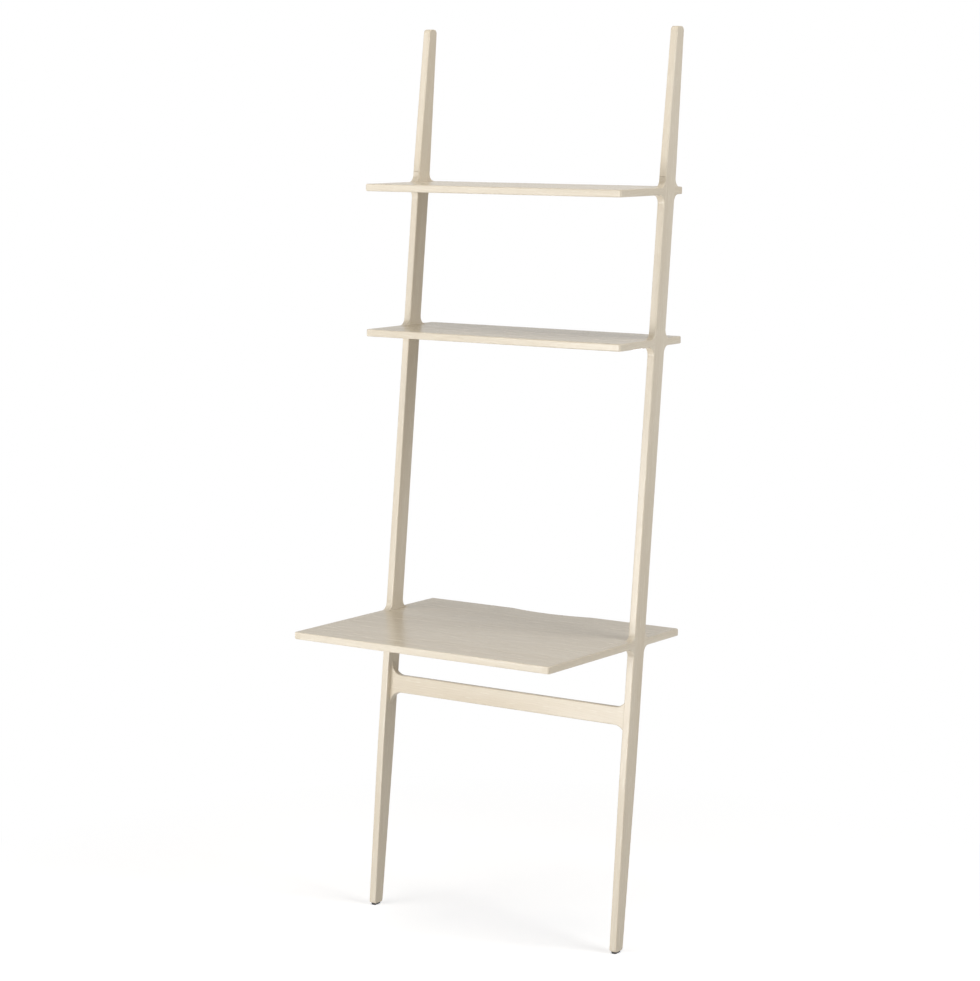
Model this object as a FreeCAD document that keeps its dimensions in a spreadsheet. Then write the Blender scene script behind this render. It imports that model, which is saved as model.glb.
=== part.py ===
"""Ladder desk: a leaning ash frame with a desk top, two shelves and a stretcher.

Frame: +Z up from the floor, +X to the right, +Y towards the wall.  The origin is on the
floor in the middle of the desk's depth, so the wall stands at Y = desk_depth / 2.
Millimetres throughout.
"""
import FreeCAD, Part
import math
import os

import Sketcher

Vector = FreeCAD.Vector

# Driving sizes, in millimetres: alias -> value.  Each one can be changed by itself.
SIZES = {
    # the whole desk
    "overall_width": 750.0,
    "overall_height": 2225.0,
    "desk_depth": 577.0,
    "shelf_depth": 280.0,
    "desk_height": 760.0,
    "lower_shelf_height": 1482.0,
    "upper_shelf_height": 1843.0,
    "board_thickness": 18.0,
    "edge_chamfer": 2.0,
    # leaning uprights, measured level from front to back
    "frame_thickness": 20.0,
    "upright_depth": 46.5,
    "foot_depth": 33.0,
    "tip_depth": 31.0,
    "foot_setback": 266.0,
    "lower_taper_height": 415.0,
    "lower_taper_blend": 30.0,
    "upper_taper_rise": 45.0,
    "upper_taper_blend": 18.0,
    "tip_radius": 10.0,
    "foot_radius": 7.0,
    # arms, with a flared root that is let into the upright and tenoned
    "arm_fillet": 20.0,
    "tip_corner": 6.0,
    "root_reach": 25.0,
    "housing_depth": 3.0,
    "tenon_thickness": 8.0,
    "tenon_shoulder": 10.0,
    "tenon_gap": 4.5,
    # cable recess in the back edge of the desk top
    "recess_length": 240.0,
    "recess_depth": 16.0,
    "recess_blend": 60.0,
    # stretcher between the legs
    "stretcher_level": 571.5,
    "stretcher_height": 45.0,
    "stretcher_thickness": 18.0,
    "stretcher_flare": 32.0,
    "flare_lip": 0.8,
    # foot glides
    "glide_height": 4.5,
    "glide_length": 24.0,
    "glide_width": 13.0,
    "glide_corner": 3.0,
    "glide_chamfer": 1.0,
    "glide_stem": 8.0,
    "stem_length": 16.0,
    "stem_gap": 0.1,
    # loose tongues between the boards and the frames
    "tongue_length": 24.0,
    "tongue_thickness": 8.0,
    "tongue_in_frame": 12.0,
    "tongue_in_board": 18.0,
    "tongue_gap": 0.1,
    "tongue_pitch": 150.0,
    # wall brackets under the lower shelf
    "bracket_inset": 105.0,
    "bracket_width": 30.0,
    "bracket_leg": 28.0,
    "bracket_drop": 24.0,
    "bracket_thickness": 2.0,
    "bracket_bend": 2.5,
    "wall_hole": 5.5,
    "wall_hole_drop": 14.0,
    "screw_spacing": 16.0,
    "screw_setback": 18.0,
    "screw_diameter": 3.5,
    "screw_length": 14.0,
    "screw_head": 7.0,
    "screw_head_height": 2.0,
    "screw_gap": 0.1,
}

LEVELS = {
    "desk": ("Sizes.desk_height", "Sizes.desk_depth"),
    "lower_shelf": ("Sizes.lower_shelf_height", "Sizes.shelf_depth"),
    "upper_shelf": ("Sizes.upper_shelf_height", "Sizes.shelf_depth"),
}
FRAME_FACE = "(Sizes.overall_width / 2 - Sizes.frame_thickness)"
FRAME_MIDDLE = "((Sizes.overall_width - Sizes.frame_thickness) / 2)"
SLOPE = "((Sizes.foot_setback - Sizes.tip_depth / 2) / Sizes.overall_height)"
BRACKET_X = f"({FRAME_FACE} - Sizes.bracket_inset)"
PANELS = {"desk": "desk_top", "lower_shelf": "lower_shelf", "upper_shelf": "upper_shelf"}
SIDES = {"left": -1, "right": 1}

ALONG_X = Vector(1, 0, 0)
ALONG_Y = Vector(0, 1, 0)
ALONG_Z = Vector(0, 0, 1)
START, END, CENTRE = range(1, 4)   # how a sketch counts the points of a line, arc or circle
ORIGIN = (-1, START)           # how a sketch names its own origin
CLOSE = 0.01                   # two places this near each other are the same place
PARALLEL = 1e-4                # sine of the largest angle between parallel lines
SLIVER = 0.01   # what is left of a straight edge beside an arc of nearly its full length

doc = FreeCAD.newDocument("LadderDesk")
sheet = doc.addObject("Spreadsheet::Sheet", "Sizes")
for row, (alias, value) in enumerate(SIZES.items(), start=1):
    sheet.set(f"A{row}", alias)
    sheet.set(f"B{row}", str(value))
    sheet.setAlias(f"B{row}", alias)
doc.recompute()

nodes = []   # the finished pieces, in the order they are written


def size(expression):
    """The number that an expression over the sheet has."""
    return float(sheet.evalExpression(str(expression)))


# ---------------------------------------------------------------- places as expressions

def from_wall(distance):
    """Y of a point that stands this far in front of the wall."""
    return f"(Sizes.desk_depth / 2 - ({distance}))"


def axis_setback(level):
    """Distance of the upright's centre line from the wall at a height."""
    return f"(Sizes.foot_setback - {SLOPE} * ({level}))"


def front_face(level):
    return from_wall(f"{axis_setback(level)} + Sizes.upright_depth / 2")


def back_face(level):
    return from_wall(f"{axis_setback(level)} - Sizes.upright_depth / 2")


# ---------------------------------------------------------------- modelling helpers

def new_body(name):
    body = doc.addObject("PartDesign::Body", name)
    body.Label = name
    return body


def sketch_on(body, name, role):
    """A sketch on the body's own origin plane that has this role."""
    sketch = body.newObject("Sketcher::SketchObject", name)
    plane = [feature for feature in body.Origin.OriginFeatures if feature.Role == role][0]
    sketch.AttachmentSupport = [(plane, "")]
    sketch.MapMode = "FlatFace"
    return sketch


def place_point(sketch, geometry, end, point):
    """Tie one end of a sketch line to two expressions measured from the origin."""
    for kind, expression in zip(("DistanceX", "DistanceY"), point):
        index = sketch.addConstraint(
            Sketcher.Constraint(kind, *ORIGIN, geometry, end, size(expression)))
        sketch.setExpression(f"Constraints[{index}]", str(expression))


def draw_polygon(sketch, points):
    """A closed outline whose corners are pairs of expressions."""
    corners = [Vector(size(u), size(v), 0) for u, v in points]
    first = sketch.GeometryCount
    count = len(corners)
    for index in range(count):
        sketch.addGeometry(Part.LineSegment(corners[index], corners[(index + 1) % count]))
    for index in range(count):
        following = first + (index + 1) % count
        sketch.addConstraint(
            Sketcher.Constraint("Coincident", first + index, END, following, START))
        place_point(sketch, first + index, START, points[index])


def unit_steps(start, end):
    """The two parts of the unit vector from one corner to the next, as expressions."""
    across, up = f"({end[0]} - {start[0]})", f"({end[1]} - {start[1]})"
    length = f"sqrt({across} ^ 2 + {up} ^ 2)"
    return f"({across} / {length})", f"({up} / {length})"


def draw_blended(sketch, points, blends):
    """A closed outline whose blended corners are arcs this far along both of their sides."""
    runs = []   # the straight runs, each from its start to its end
    count = len(points)
    for index in range(count):
        start, end = points[index], points[(index + 1) % count]
        step = unit_steps(start, end)
        first, last = blends[index], blends[(index + 1) % count]
        if first:
            start = tuple(f"({place} + {first} * {part})" for place, part in zip(start, step))
        if last:
            end = tuple(f"({place} - {last} * {part})" for place, part in zip(end, step))
        runs.append((start, end))
    ends = [[Vector(size(u), size(v), 0) for u, v in run] for run in runs]
    for start, end in ends:
        sketch.addGeometry(Part.LineSegment(start, end))
    for index in range(count):
        following = (index + 1) % count
        place_point(sketch, index, START, runs[index][0])
        if not blends[following]:
            sketch.addConstraint(Sketcher.Constraint("Coincident", index, END, following, START))
            continue
        place_point(sketch, index, END, runs[index][1])
        before, after = ends[index], ends[following]
        arc, clockwise = tangent_arc(before[0], before[1], after[0])
        number = sketch.addGeometry(arc)
        near_end, far_end = (END, START) if clockwise else (START, END)
        sketch.addConstraint(Sketcher.Constraint("Tangent", index, END, number, near_end))
        sketch.addConstraint(Sketcher.Constraint("Coincident", number, far_end, following, START))


def tangent_arc(behind, start, end):
    """The arc that leaves the line behind-start at its start and reaches an end point."""
    along = (start - behind).normalize()
    normal = Vector(-along.y, along.x, 0)
    chord = end - start
    radius = chord.dot(chord) / (2 * chord.dot(normal))
    centre = start + normal * radius
    clockwise = radius < 0
    first, last = (end, start) if clockwise else (start, end)
    angles = [math.atan2(place.y - centre.y, place.x - centre.x) for place in (first, last)]
    if angles[1] < angles[0]:
        angles[1] += 2 * math.pi
    circle = Part.Circle(centre, ALONG_Z, abs(radius))
    return Part.ArcOfCircle(circle, angles[0], angles[1]), clockwise


def draw_rectangle(sketch, left, bottom, right, top):
    draw_polygon(sketch, [(left, bottom), (right, bottom), (right, top), (left, top)])


def draw_circle(sketch, centre, diameter):
    place = Vector(size(centre[0]), size(centre[1]), 0)
    index = sketch.addGeometry(Part.Circle(place, ALONG_Z, size(diameter) / 2))
    place_point(sketch, index, CENTRE, centre)
    rule = sketch.addConstraint(Sketcher.Constraint("Diameter", index, size(diameter)))
    sketch.setExpression(f"Constraints[{rule}]", str(diameter))


def pad(body, name, sketch, length, symmetric=False):
    feature = body.newObject("PartDesign::Pad", name)
    feature.Profile = sketch
    feature.setExpression("Length", length)
    feature.SideType = "Symmetric" if symmetric else "One side"
    doc.recompute()


def pocket(body, name, sketch, length, symmetric=False, reverse=False):
    """A pocket that is checked to take material away."""
    before = body.Shape.Volume
    feature = body.newObject("PartDesign::Pocket", name)
    feature.Profile = sketch
    feature.setExpression("Length", length)
    feature.SideType = "Symmetric" if symmetric else "One side"
    feature.Reversed = reverse
    doc.recompute()
    if body.Shape.Volume >= before:
        raise RuntimeError(f"{body.Label}: {name} cuts nothing")


def dress_edges(kind, body, name, wanted):
    """A fillet or chamfer on the edges of the body's tip that the wanted test picks."""
    base = body.Tip
    picked = [f"Edge{index}" for index, edge in enumerate(base.Shape.Edges, start=1)
              if wanted(edge)]
    if not picked:
        raise RuntimeError(f"{body.Label}: {name} finds no edge")
    feature = body.newObject(f"PartDesign::{kind}", name)
    feature.Base = (base, picked)
    return feature


def round_edges(body, name, radius, wanted):
    feature = dress_edges("Fillet", body, name, wanted)
    feature.setExpression("Radius", radius)
    doc.recompute()


def chamfer_edges(body, name, leg, wanted):
    feature = dress_edges("Chamfer", body, name, wanted)
    feature.setExpression("Size", leg)
    doc.recompute()


def middle(edge):
    return edge.valueAt((edge.FirstParameter + edge.LastParameter) / 2)


def runs_along(edge, direction):
    """True for a straight edge parallel to a direction."""
    if not isinstance(edge.Curve, (Part.Line, Part.LineSegment)):
        return False
    span = edge.Vertexes[-1].Point - edge.Vertexes[0].Point
    return span.cross(direction).Length < PARALLEL * span.Length


def lies_in_plane(edge, axis, place):
    """True when one coordinate of the whole edge is this."""
    box = edge.BoundBox
    low, high = {"x": (box.XMin, box.XMax), "y": (box.YMin, box.YMax),
                 "z": (box.ZMin, box.ZMax)}[axis]
    return near(low, place) and near(high, place)


def near(value, target):
    return abs(value - target) < CLOSE


def boolean(kind, name, base, tool):
    feature = doc.addObject(f"Part::{kind}", name)
    feature.Base = base
    feature.Tool = tool
    feature.Label = name
    doc.recompute()
    return feature


def group(name, shapes):
    """Several separate solids in one feature."""
    feature = doc.addObject("Part::Feature", name)
    feature.Shape = Part.makeCompound(shapes)
    feature.Label = name
    return feature


def keep(feature, name):
    """Make a feature one of the finished pieces, under its node's name."""
    feature.Label = name
    nodes.append(feature)


# ---------------------------------------------------------------- side frame

def upright_outline():
    """Corners of one upright seen from the side: it leans back and tapers at both ends."""
    stations = [
        ("Sizes.glide_height", "Sizes.foot_depth"),
        ("Sizes.lower_taper_height", "Sizes.upright_depth"),
        ("Sizes.upper_shelf_height + Sizes.upper_taper_rise", "Sizes.upright_depth"),
        ("Sizes.overall_height", "Sizes.tip_depth"),
    ]
    front = [(from_wall(f"{axis_setback(level)} + {depth} / 2"), level)
             for level, depth in stations]
    back = [(from_wall(f"{axis_setback(level)} - {depth} / 2"), level)
            for level, depth in stations]
    return front + back[::-1]


def make_frame_blank():
    """One whole side frame, its inner face at +X: upright, six arms, fillets and edges."""
    body = new_body("frame_blank")
    half = size("Sizes.frame_thickness / 2")
    outline = upright_outline()
    tapers = [None, "Sizes.lower_taper_blend", "Sizes.upper_taper_blend", None]

    sketch = sketch_on(body, "upright_side", "YZ_Plane")
    draw_blended(sketch, outline, tapers + tapers[::-1])
    pad(body, "upright_pad", sketch, "Sizes.frame_thickness", symmetric=True)
    for name, (top, depth) in LEVELS.items():
        sketch = sketch_on(body, f"{name}_arm_side", "YZ_Plane")
        draw_rectangle(sketch, from_wall(depth), f"{top} - Sizes.board_thickness",
                       from_wall(0), top)
        pad(body, f"{name}_arm_pad", sketch, "Sizes.frame_thickness", symmetric=True)

    corners = [Vector(0, size(u), size(v)) for u, v in outline]
    foot_front, foot_back = corners[0], corners[-1]
    tip_front, tip_back = corners[3:5]

    def at(edge, places):
        spot = middle(edge)
        return runs_along(edge, ALONG_X) and any(
            near(spot.y, place.y) and near(spot.z, place.z) for place in places)

    round_edges(body, "tip_corners", "Sizes.tip_radius",
                lambda edge: at(edge, (tip_front, tip_back)))
    round_edges(body, "foot_corners", "Sizes.foot_radius",
                lambda edge: at(edge, (foot_front, foot_back)))

    roots = []
    for top, _ in LEVELS.values():
        for level in (top, f"{top} - Sizes.board_thickness"):
            roots.append(Vector(0, size(front_face(level)), size(level)))
            roots.append(Vector(0, size(back_face(level)), size(level)))
    round_edges(body, "arm_fillets", "Sizes.arm_fillet", lambda edge: at(edge, roots))

    chamfer_edges(body, "inner_edges", "Sizes.edge_chamfer",
                  lambda edge: lies_in_plane(edge, "x", half) and not at_arm_tip(edge))

    # The boards butt against the inner face, so along a board the frame is square again.
    for name, (top, depth) in LEVELS.items():
        sketch = sketch_on(body, f"{name}_seat_side", "YZ_Plane")
        sketch.setExpression("AttachmentOffset.Base.z",
                             "Sizes.frame_thickness / 2 - 2 * Sizes.edge_chamfer")
        draw_rectangle(sketch, from_wall(depth), f"{top} - Sizes.board_thickness",
                       from_wall(0), top)
        pad(body, f"{name}_seat_pad", sketch, "2 * Sizes.edge_chamfer")

    round_edges(body, "tip_plan_corners", "Sizes.tip_corner",
                lambda edge: runs_along(edge, ALONG_Z) and at_arm_tip(edge)
                and near(middle(edge).x, -half))
    chamfer_edges(body, "outer_edges", "Sizes.edge_chamfer",
                  lambda edge: lies_in_plane(edge, "x", -half) or tip_edge(edge))
    return body


def at_arm_tip(edge):
    """True for an edge that lies in the end face of an arm."""
    spot = middle(edge)
    for top, depth in LEVELS.values():
        bottom = size(f"{top} - Sizes.board_thickness")
        in_arm = bottom - CLOSE < spot.z < size(top) + CLOSE
        ends = (size(from_wall(depth)), size(from_wall(0)))
        if in_arm and any(lies_in_plane(edge, "y", end) for end in ends):
            return True
    return False


def tip_edge(edge):
    """True for the edges across the top and bottom of an arm's end face."""
    return runs_along(edge, ALONG_X) and at_arm_tip(edge)


def make_root(name, level, front):
    """The space that one arm takes: everything beyond its joint plane, and its tenon."""
    top, depth = LEVELS[level]
    centre = f"({top} - Sizes.board_thickness / 2)"
    reach = "(Sizes.board_thickness / 2 + Sizes.root_reach)"
    tenon_reach = "(Sizes.board_thickness / 2 + Sizes.root_reach - Sizes.tenon_shoulder)"
    tenon = "(Sizes.upright_depth / 2 - Sizes.housing_depth - Sizes.tenon_gap / 2)"
    sign = 1 if front else -1
    face = front_face if front else back_face

    def joint(height):
        return f"({face(height)} + {sign} * Sizes.housing_depth)"

    low, high = f"({centre} - {reach})", f"({centre} + {reach})"
    far = f"({from_wall(depth if front else 0)} - {sign} * Sizes.board_thickness)"
    body = new_body(name)
    sketch = sketch_on(body, f"{name}_region", "YZ_Plane")
    draw_polygon(sketch, [(far, low), (joint(low), low), (joint(high), high), (far, high)])
    pad(body, f"{name}_region_pad", sketch, "2 * Sizes.frame_thickness", symmetric=True)

    low, high = f"({centre} - {tenon_reach})", f"({centre} + {tenon_reach})"
    sketch = sketch_on(body, f"{name}_tenon", "YZ_Plane")
    inside = f"{sign} * Sizes.housing_depth / 2"
    draw_polygon(sketch, [
        (f"{joint(low)} - {inside}", low), (f"{joint(low)} + {sign} * {tenon}", low),
        (f"{joint(high)} + {sign} * {tenon}", high), (f"{joint(high)} - {inside}", high)])
    pad(body, f"{name}_tenon_pad", sketch, "Sizes.tenon_thickness", symmetric=True)
    return body


# ---------------------------------------------------------------- boards

def make_board(level, name):
    """A desk top or shelf between the frames, its long edges eased."""
    top, depth = LEVELS[level]
    body = new_body(f"{name}_blank")
    half = FRAME_FACE
    front, back = from_wall(depth), from_wall(0)
    sketch = sketch_on(body, f"{name}_plan", "XY_Plane")
    draw_rectangle(sketch, f"-{half}", front, half, back)
    pad(body, f"{name}_pad", sketch, "Sizes.board_thickness")
    if level == "desk":
        cut_recess(body, back)
    thickness = size("Sizes.board_thickness")
    end = size(half)
    chamfer_edges(body, f"{name}_edges", "Sizes.edge_chamfer",
                  lambda edge: (lies_in_plane(edge, "z", 0) or lies_in_plane(edge, "z", thickness))
                  and not lies_in_plane(edge, "x", end) and not lies_in_plane(edge, "x", -end))
    body.setExpression("Placement.Base.z", f"{top} - Sizes.board_thickness")
    doc.recompute()
    return body


def cut_recess(body, back):
    """A shallow arc out of the back edge, blended into it, for cables to drop behind."""
    chord, rise = "Sizes.recess_length", "Sizes.recess_depth"
    radius = f"(({chord} / 2) ^ 2 + {rise} ^ 2) / (2 * {rise})"
    sketch = sketch_on(body, "recess_plan", "XY_Plane")
    centre = ("0", f"{back} - {rise} + {radius}")
    draw_circle(sketch, centre, f"2 * {radius}")
    pocket(body, "recess_cut", sketch, "Sizes.board_thickness", reverse=True)
    end = size(f"{chord} / 2")
    round_edges(body, "recess_blends", "Sizes.recess_blend",
                lambda edge: runs_along(edge, ALONG_Z) and near(abs(middle(edge).x), end))


def make_stretcher():
    """A board on edge that leans with the legs, its ends flared where they meet them."""
    body = new_body("stretcher_blank")
    end = FRAME_FACE
    over = f"({end} + 2 * Sizes.edge_chamfer)"   # trimmed off once the edges are eased
    rise = "(Sizes.stretcher_height / 2)"
    flare = "(Sizes.stretcher_height / 2 + Sizes.stretcher_flare)"
    lip = f"({end} - Sizes.flare_lip)"
    sketch = sketch_on(body, "stretcher_face", "XZ_Plane")
    draw_polygon(sketch, [
        (f"-{over}", f"-{flare}"), (f"-{lip}", f"-{flare}"), (f"-{lip}", f"-{rise}"),
        (lip, f"-{rise}"), (lip, f"-{flare}"), (over, f"-{flare}"),
        (over, flare), (lip, flare), (lip, rise),
        (f"-{lip}", rise), (f"-{lip}", flare), (f"-{over}", flare)])
    pad(body, "stretcher_pad", sketch, "Sizes.stretcher_thickness", symmetric=True)
    inner_x, inner_z = size(lip), size(rise)
    round_edges(body, "stretcher_flares", f"Sizes.stretcher_flare - {SLIVER}",
                lambda edge: runs_along(edge, ALONG_Y)
                and near(abs(middle(edge).x), inner_x) and near(abs(middle(edge).z), inner_z))
    half = size("Sizes.stretcher_thickness / 2")
    chamfer_edges(body, "stretcher_edges", "Sizes.edge_chamfer",
                  lambda edge: near(abs(middle(edge).y), half)
                  and abs(middle(edge).x) < inner_x - SLIVER and not runs_along(edge, ALONG_Z))
    sketch = sketch_on(body, "stretcher_ends", "XZ_Plane")
    for sign in ("-", ""):
        draw_rectangle(sketch, f"{sign}{end}", f"-2 * {flare}", f"{sign}2 * {end}", f"2 * {flare}")
    pocket(body, "stretcher_trim", sketch, "2 * Sizes.stretcher_thickness", symmetric=True)
    body.Placement.Rotation = FreeCAD.Rotation(ALONG_X, 0)
    body.setExpression("Placement.Rotation.Angle", f"-atan({SLOPE})")
    body.setExpression("Placement.Base.y", from_wall(axis_setback("Sizes.stretcher_level")))
    body.setExpression("Placement.Base.z", "Sizes.stretcher_level")
    doc.recompute()
    return body


# ---------------------------------------------------------------- small parts

def make_glide():
    """A moulded foot pad with a stem that presses into the leg."""
    body = new_body("glide_blank")
    sketch = sketch_on(body, "glide_plan", "XY_Plane")
    draw_rectangle(sketch, "-Sizes.glide_width / 2", "-Sizes.glide_length / 2",
                   "Sizes.glide_width / 2", "Sizes.glide_length / 2")
    pad(body, "glide_pad", sketch, "Sizes.glide_height")
    round_edges(body, "glide_corners", "Sizes.glide_corner",
                lambda edge: runs_along(edge, ALONG_Z))
    chamfer_edges(body, "glide_sole", "Sizes.glide_chamfer",
                  lambda edge: lies_in_plane(edge, "z", 0))
    sketch = sketch_on(body, "glide_stem_plan", "XY_Plane")
    draw_circle(sketch, ("0", "0"), "Sizes.glide_stem")
    pad(body, "glide_stem_pad", sketch, "Sizes.glide_height + Sizes.stem_length")
    return body


def make_tongue(name, gap):
    """A loose tongue about the joint face at X = 0, or the mortises for it with a gap."""
    body = new_body(name)
    length = f"(Sizes.tongue_length / 2 + {gap})"
    thick = f"(Sizes.tongue_thickness / 2 + {gap})"
    sketch = sketch_on(body, f"{name}_plan", "XY_Plane")
    draw_rectangle(sketch, f"-Sizes.tongue_in_frame - {gap}", f"-{length}",
                   f"Sizes.tongue_in_board + {gap}", length)
    pad(body, f"{name}_pad", sketch, f"2 * {thick}", symmetric=True)
    return body


def make_screw():
    """A pan-head screw about Z: its head stands below the origin, its shank above."""
    body = new_body("screw_blank")
    sketch = sketch_on(body, "screw_profile", "XZ_Plane")
    head, shank = "Sizes.screw_head / 2", "Sizes.screw_diameter / 2"
    draw_polygon(sketch, [
        ("0", "-Sizes.screw_head_height"), (head, "-Sizes.screw_head_height"), (head, "0"),
        (shank, "0"), (shank, "Sizes.screw_length"), ("0", "Sizes.screw_length")])
    turn = body.newObject("PartDesign::Revolution", "screw_turn")
    turn.Profile = sketch
    turn.ReferenceAxis = (sketch, ["V_Axis"])
    turn.Angle = 360
    doc.recompute()
    return body


def make_bracket():
    """A bent steel angle: one leg screwed up into the shelf, the other flat on the wall."""
    body = new_body("bracket_blank")
    sketch = sketch_on(body, "bracket_side", "YZ_Plane")
    wall, under = from_wall(0), "0"
    leg, drop, gauge = "Sizes.bracket_leg", "Sizes.bracket_drop", "Sizes.bracket_thickness"
    draw_polygon(sketch, [
        (f"{wall} - {leg}", f"-{gauge}"), (f"{wall} - {gauge}", f"-{gauge}"),
        (f"{wall} - {gauge}", f"-{drop}"), (wall, f"-{drop}"),
        (wall, under), (f"{wall} - {leg}", under)])
    pad(body, "bracket_pad", sketch, "Sizes.bracket_width", symmetric=True)
    wall_y = size(wall)
    gauge_size = size(gauge)
    round_edges(body, "bracket_bend_inside", "Sizes.bracket_bend - Sizes.bracket_thickness",
                lambda edge: runs_along(edge, ALONG_X)
                and near(middle(edge).y, wall_y - gauge_size)
                and near(middle(edge).z, -gauge_size))
    round_edges(body, "bracket_bend_outside", "Sizes.bracket_bend",
                lambda edge: runs_along(edge, ALONG_X) and near(middle(edge).y, wall_y)
                and near(middle(edge).z, 0))
    sketch = sketch_on(body, "wall_hole_face", "XZ_Plane")
    draw_circle(sketch, ("0", "-Sizes.wall_hole_drop"), "Sizes.wall_hole")
    pocket(body, "wall_hole_cut", sketch, "2 * Sizes.desk_depth", symmetric=True)
    body.setExpression("Placement.Base.z", "Sizes.lower_shelf_height - Sizes.board_thickness")
    doc.recompute()
    return body


# ---------------------------------------------------------------- where the fittings go

def tongue_spots():
    """Places (y, z) of the boards' tongues on a frame's inner face."""
    spots = []
    for top, depth in LEVELS.values():
        z = size(f"{top} - Sizes.board_thickness / 2")
        front_start = size(from_wall(depth))
        front_end = size(front_face(f"{top} - Sizes.board_thickness"))
        back_start = size(back_face(top))
        back_end = size(from_wall(0))
        count = math.floor((front_end - front_start) / size("Sizes.tongue_pitch")) + 1
        for index in range(count):
            share = (2 * index + 1) / (2 * count)
            spots.append((front_start + (front_end - front_start) * share, z))
        spots.append(((back_start + back_end) / 2, z))
    return spots


def lean():
    """The rotation that tips a piece back with the uprights."""
    return FreeCAD.Rotation(ALONG_X, -math.degrees(math.atan(size(SLOPE))))


def on_frame(side, y, z, turn):
    """Placement on one of the frames' inner faces, local +X pointing into the desk."""
    if side > 0:
        turn = turn.multiply(FreeCAD.Rotation(ALONG_Z, 180))
    return FreeCAD.Placement(Vector(side * size(FRAME_FACE), y, z), turn)


def tongue_places():
    """Every tongue's placement: flat in the boards, upright and leaning in the stretcher."""
    level = size("Sizes.stretcher_level")
    setback = size(from_wall(axis_setback("Sizes.stretcher_level")))
    upright = lean().multiply(FreeCAD.Rotation(ALONG_X, 90))
    places = []
    for side in SIDES.values():
        places += [on_frame(side, y, z, FreeCAD.Rotation()) for y, z in tongue_spots()]
        places.append(on_frame(side, setback, level, upright))
    return places


def placed(shape, placement):
    copy = shape.copy()
    copy.Placement = placement.multiply(copy.Placement)
    return copy


# ---------------------------------------------------------------- build the pieces

frame_blank = make_frame_blank()
frame_mirror = doc.addObject("Part::Mirroring", "frame_mirror")
frame_mirror.Source = frame_blank
frame_mirror.Normal = ALONG_X
frame_blanks = {"left": frame_blank, "right": frame_mirror}

roots = {}
for level in LEVELS:
    for end in ("front", "back"):
        roots[level, end] = make_root(f"{level}_{end}_root", level, end == "front")
joint_tools = doc.addObject("Part::MultiFuse", "joint_tools")
joint_tools.Shapes = list(roots.values())
doc.recompute()

tongue = make_tongue("tongue", "0")
mortise = make_tongue("mortise", "Sizes.tongue_gap")
tongues_at = tongue_places()
mortises = group("mortises", [placed(mortise.Shape, place) for place in tongues_at])

# foot glides and the holes for their stems
glide = make_glide()
foot_y = size(from_wall(axis_setback("Sizes.glide_height")))
glide_places = {}
for name, side in SIDES.items():
    glide_places[name] = Vector(side * size(FRAME_MIDDLE), foot_y, 0)
stem_hole = Part.makeCylinder(size("Sizes.glide_stem / 2 + Sizes.stem_gap"),
                              size("Sizes.glide_height + Sizes.stem_length + Sizes.stem_gap"))
foot_holes = group("foot_holes", [
    placed(stem_hole, FreeCAD.Placement(place, FreeCAD.Rotation()))
    for place in glide_places.values()])
upright_holes = boolean("Fuse", "upright_holes", mortises, foot_holes)

# uprights and arms
for name, side in SIDES.items():
    x_place = f"{side} * {FRAME_MIDDLE}"
    upright = boolean("Cut", f"{name}_upright_blank", frame_blanks[name], joint_tools)
    upright.setExpression("Placement.Base.x", x_place)
    doc.recompute()
    keep(boolean("Cut", f"{name}_upright", upright, upright_holes), f"{name}_upright")
    for (level, end), root in roots.items():
        label = f"{name}_{level}_{end}_arm"
        arm = boolean("Common", f"{label}_blank", frame_blanks[name], root)
        arm.setExpression("Placement.Base.x", x_place)
        doc.recompute()
        keep(boolean("Cut", label, arm, mortises), label)

# screws up through the wall brackets into the lower shelf
screw = make_screw()
bracket_under = "(Sizes.lower_shelf_height - Sizes.board_thickness - Sizes.bracket_thickness)"
screws_at = []
for side in SIDES.values():
    for sign in (-1, 1):
        x = size(f"{side} * {BRACKET_X} + {sign} * Sizes.screw_spacing / 2")
        place = Vector(x, size(from_wall("Sizes.screw_setback")), size(bracket_under))
        screws_at.append(FreeCAD.Placement(place, FreeCAD.Rotation()))
screw_hole = Part.makeCylinder(size("Sizes.screw_diameter / 2 + Sizes.screw_gap"),
                               size("Sizes.screw_length + Sizes.screw_gap"))
screw_holes = group("screw_holes", [placed(screw_hole, place) for place in screws_at])

# boards and stretcher
shelf_holes = boolean("Fuse", "shelf_holes", mortises, screw_holes)
for level, name in PANELS.items():
    holes = shelf_holes if name == "lower_shelf" else mortises
    keep(boolean("Cut", f"{name}_cut", make_board(level, name), holes), name)
keep(boolean("Cut", "stretcher_cut", make_stretcher(), mortises), "stretcher")

# brackets, glides and the groups of like pieces
bracket = make_bracket()
for name, side in SIDES.items():
    copy = doc.addObject("Part::Feature", f"{name}_bracket_place")
    copy.Shape = bracket.Shape.copy()
    copy.Placement.Base.x = side * size(BRACKET_X)
    keep(boolean("Cut", f"{name}_bracket_cut", copy, screw_holes), f"{name}_wall_bracket")
for name, place in glide_places.items():
    copy = doc.addObject("Part::Feature", f"{name}_glide_place")
    copy.Shape = glide.Shape.copy()
    copy.Placement.Base = place
    keep(copy, f"{name}_foot_glide")
keep(group("tongue_group", [placed(tongue.Shape, place) for place in tongues_at]),
     "loose_tongues")
keep(group("screw_group", [placed(screw.Shape, place) for place in screws_at]),
     "bracket_screws")
doc.recompute()

# ---------------------------------------------------------------- check and write

for feature in doc.Objects:
    if "Invalid" in feature.State or "Error" in feature.State:
        raise RuntimeError(f"{feature.Label} did not build: {feature.State}")
for feature in nodes:
    if feature.Shape.isNull() or not feature.Shape.isValid() or not feature.Shape.Solids:
        raise RuntimeError(f"{feature.Label} has no sound solid")

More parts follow.
